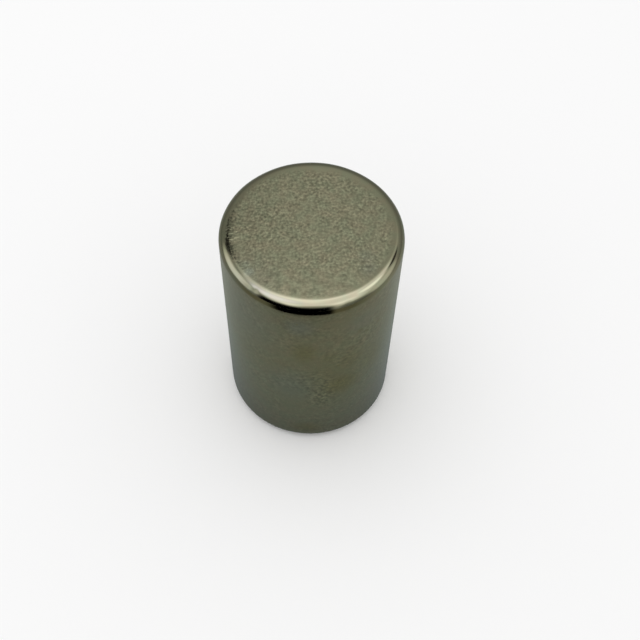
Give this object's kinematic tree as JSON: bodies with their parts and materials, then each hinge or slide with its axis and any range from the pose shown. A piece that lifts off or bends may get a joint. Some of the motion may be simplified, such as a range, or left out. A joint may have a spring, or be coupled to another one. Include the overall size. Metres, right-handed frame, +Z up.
{
  "type": "disc magnet",
  "caption": "Solid cylindrical permanent magnet in a nickel finish, taller than it is wide, with rounded edges and two flat pole faces.",
  "frame": {"origin": "centre of the lower pole face, which is the face the magnet stands on", "axes": "+Z up along the axis of the cylinder, which is also its line of magnetisation; X and Y are arbitrary because the magnet is round"},
  "size_m": [0.0126, 0.0126, 0.0191],
  "materials": {
    "nickel_plating": "satin"
  },
  "bodies": {
    "root": {"magnet": "nickel_plating"}
  },
  "joints": []
}
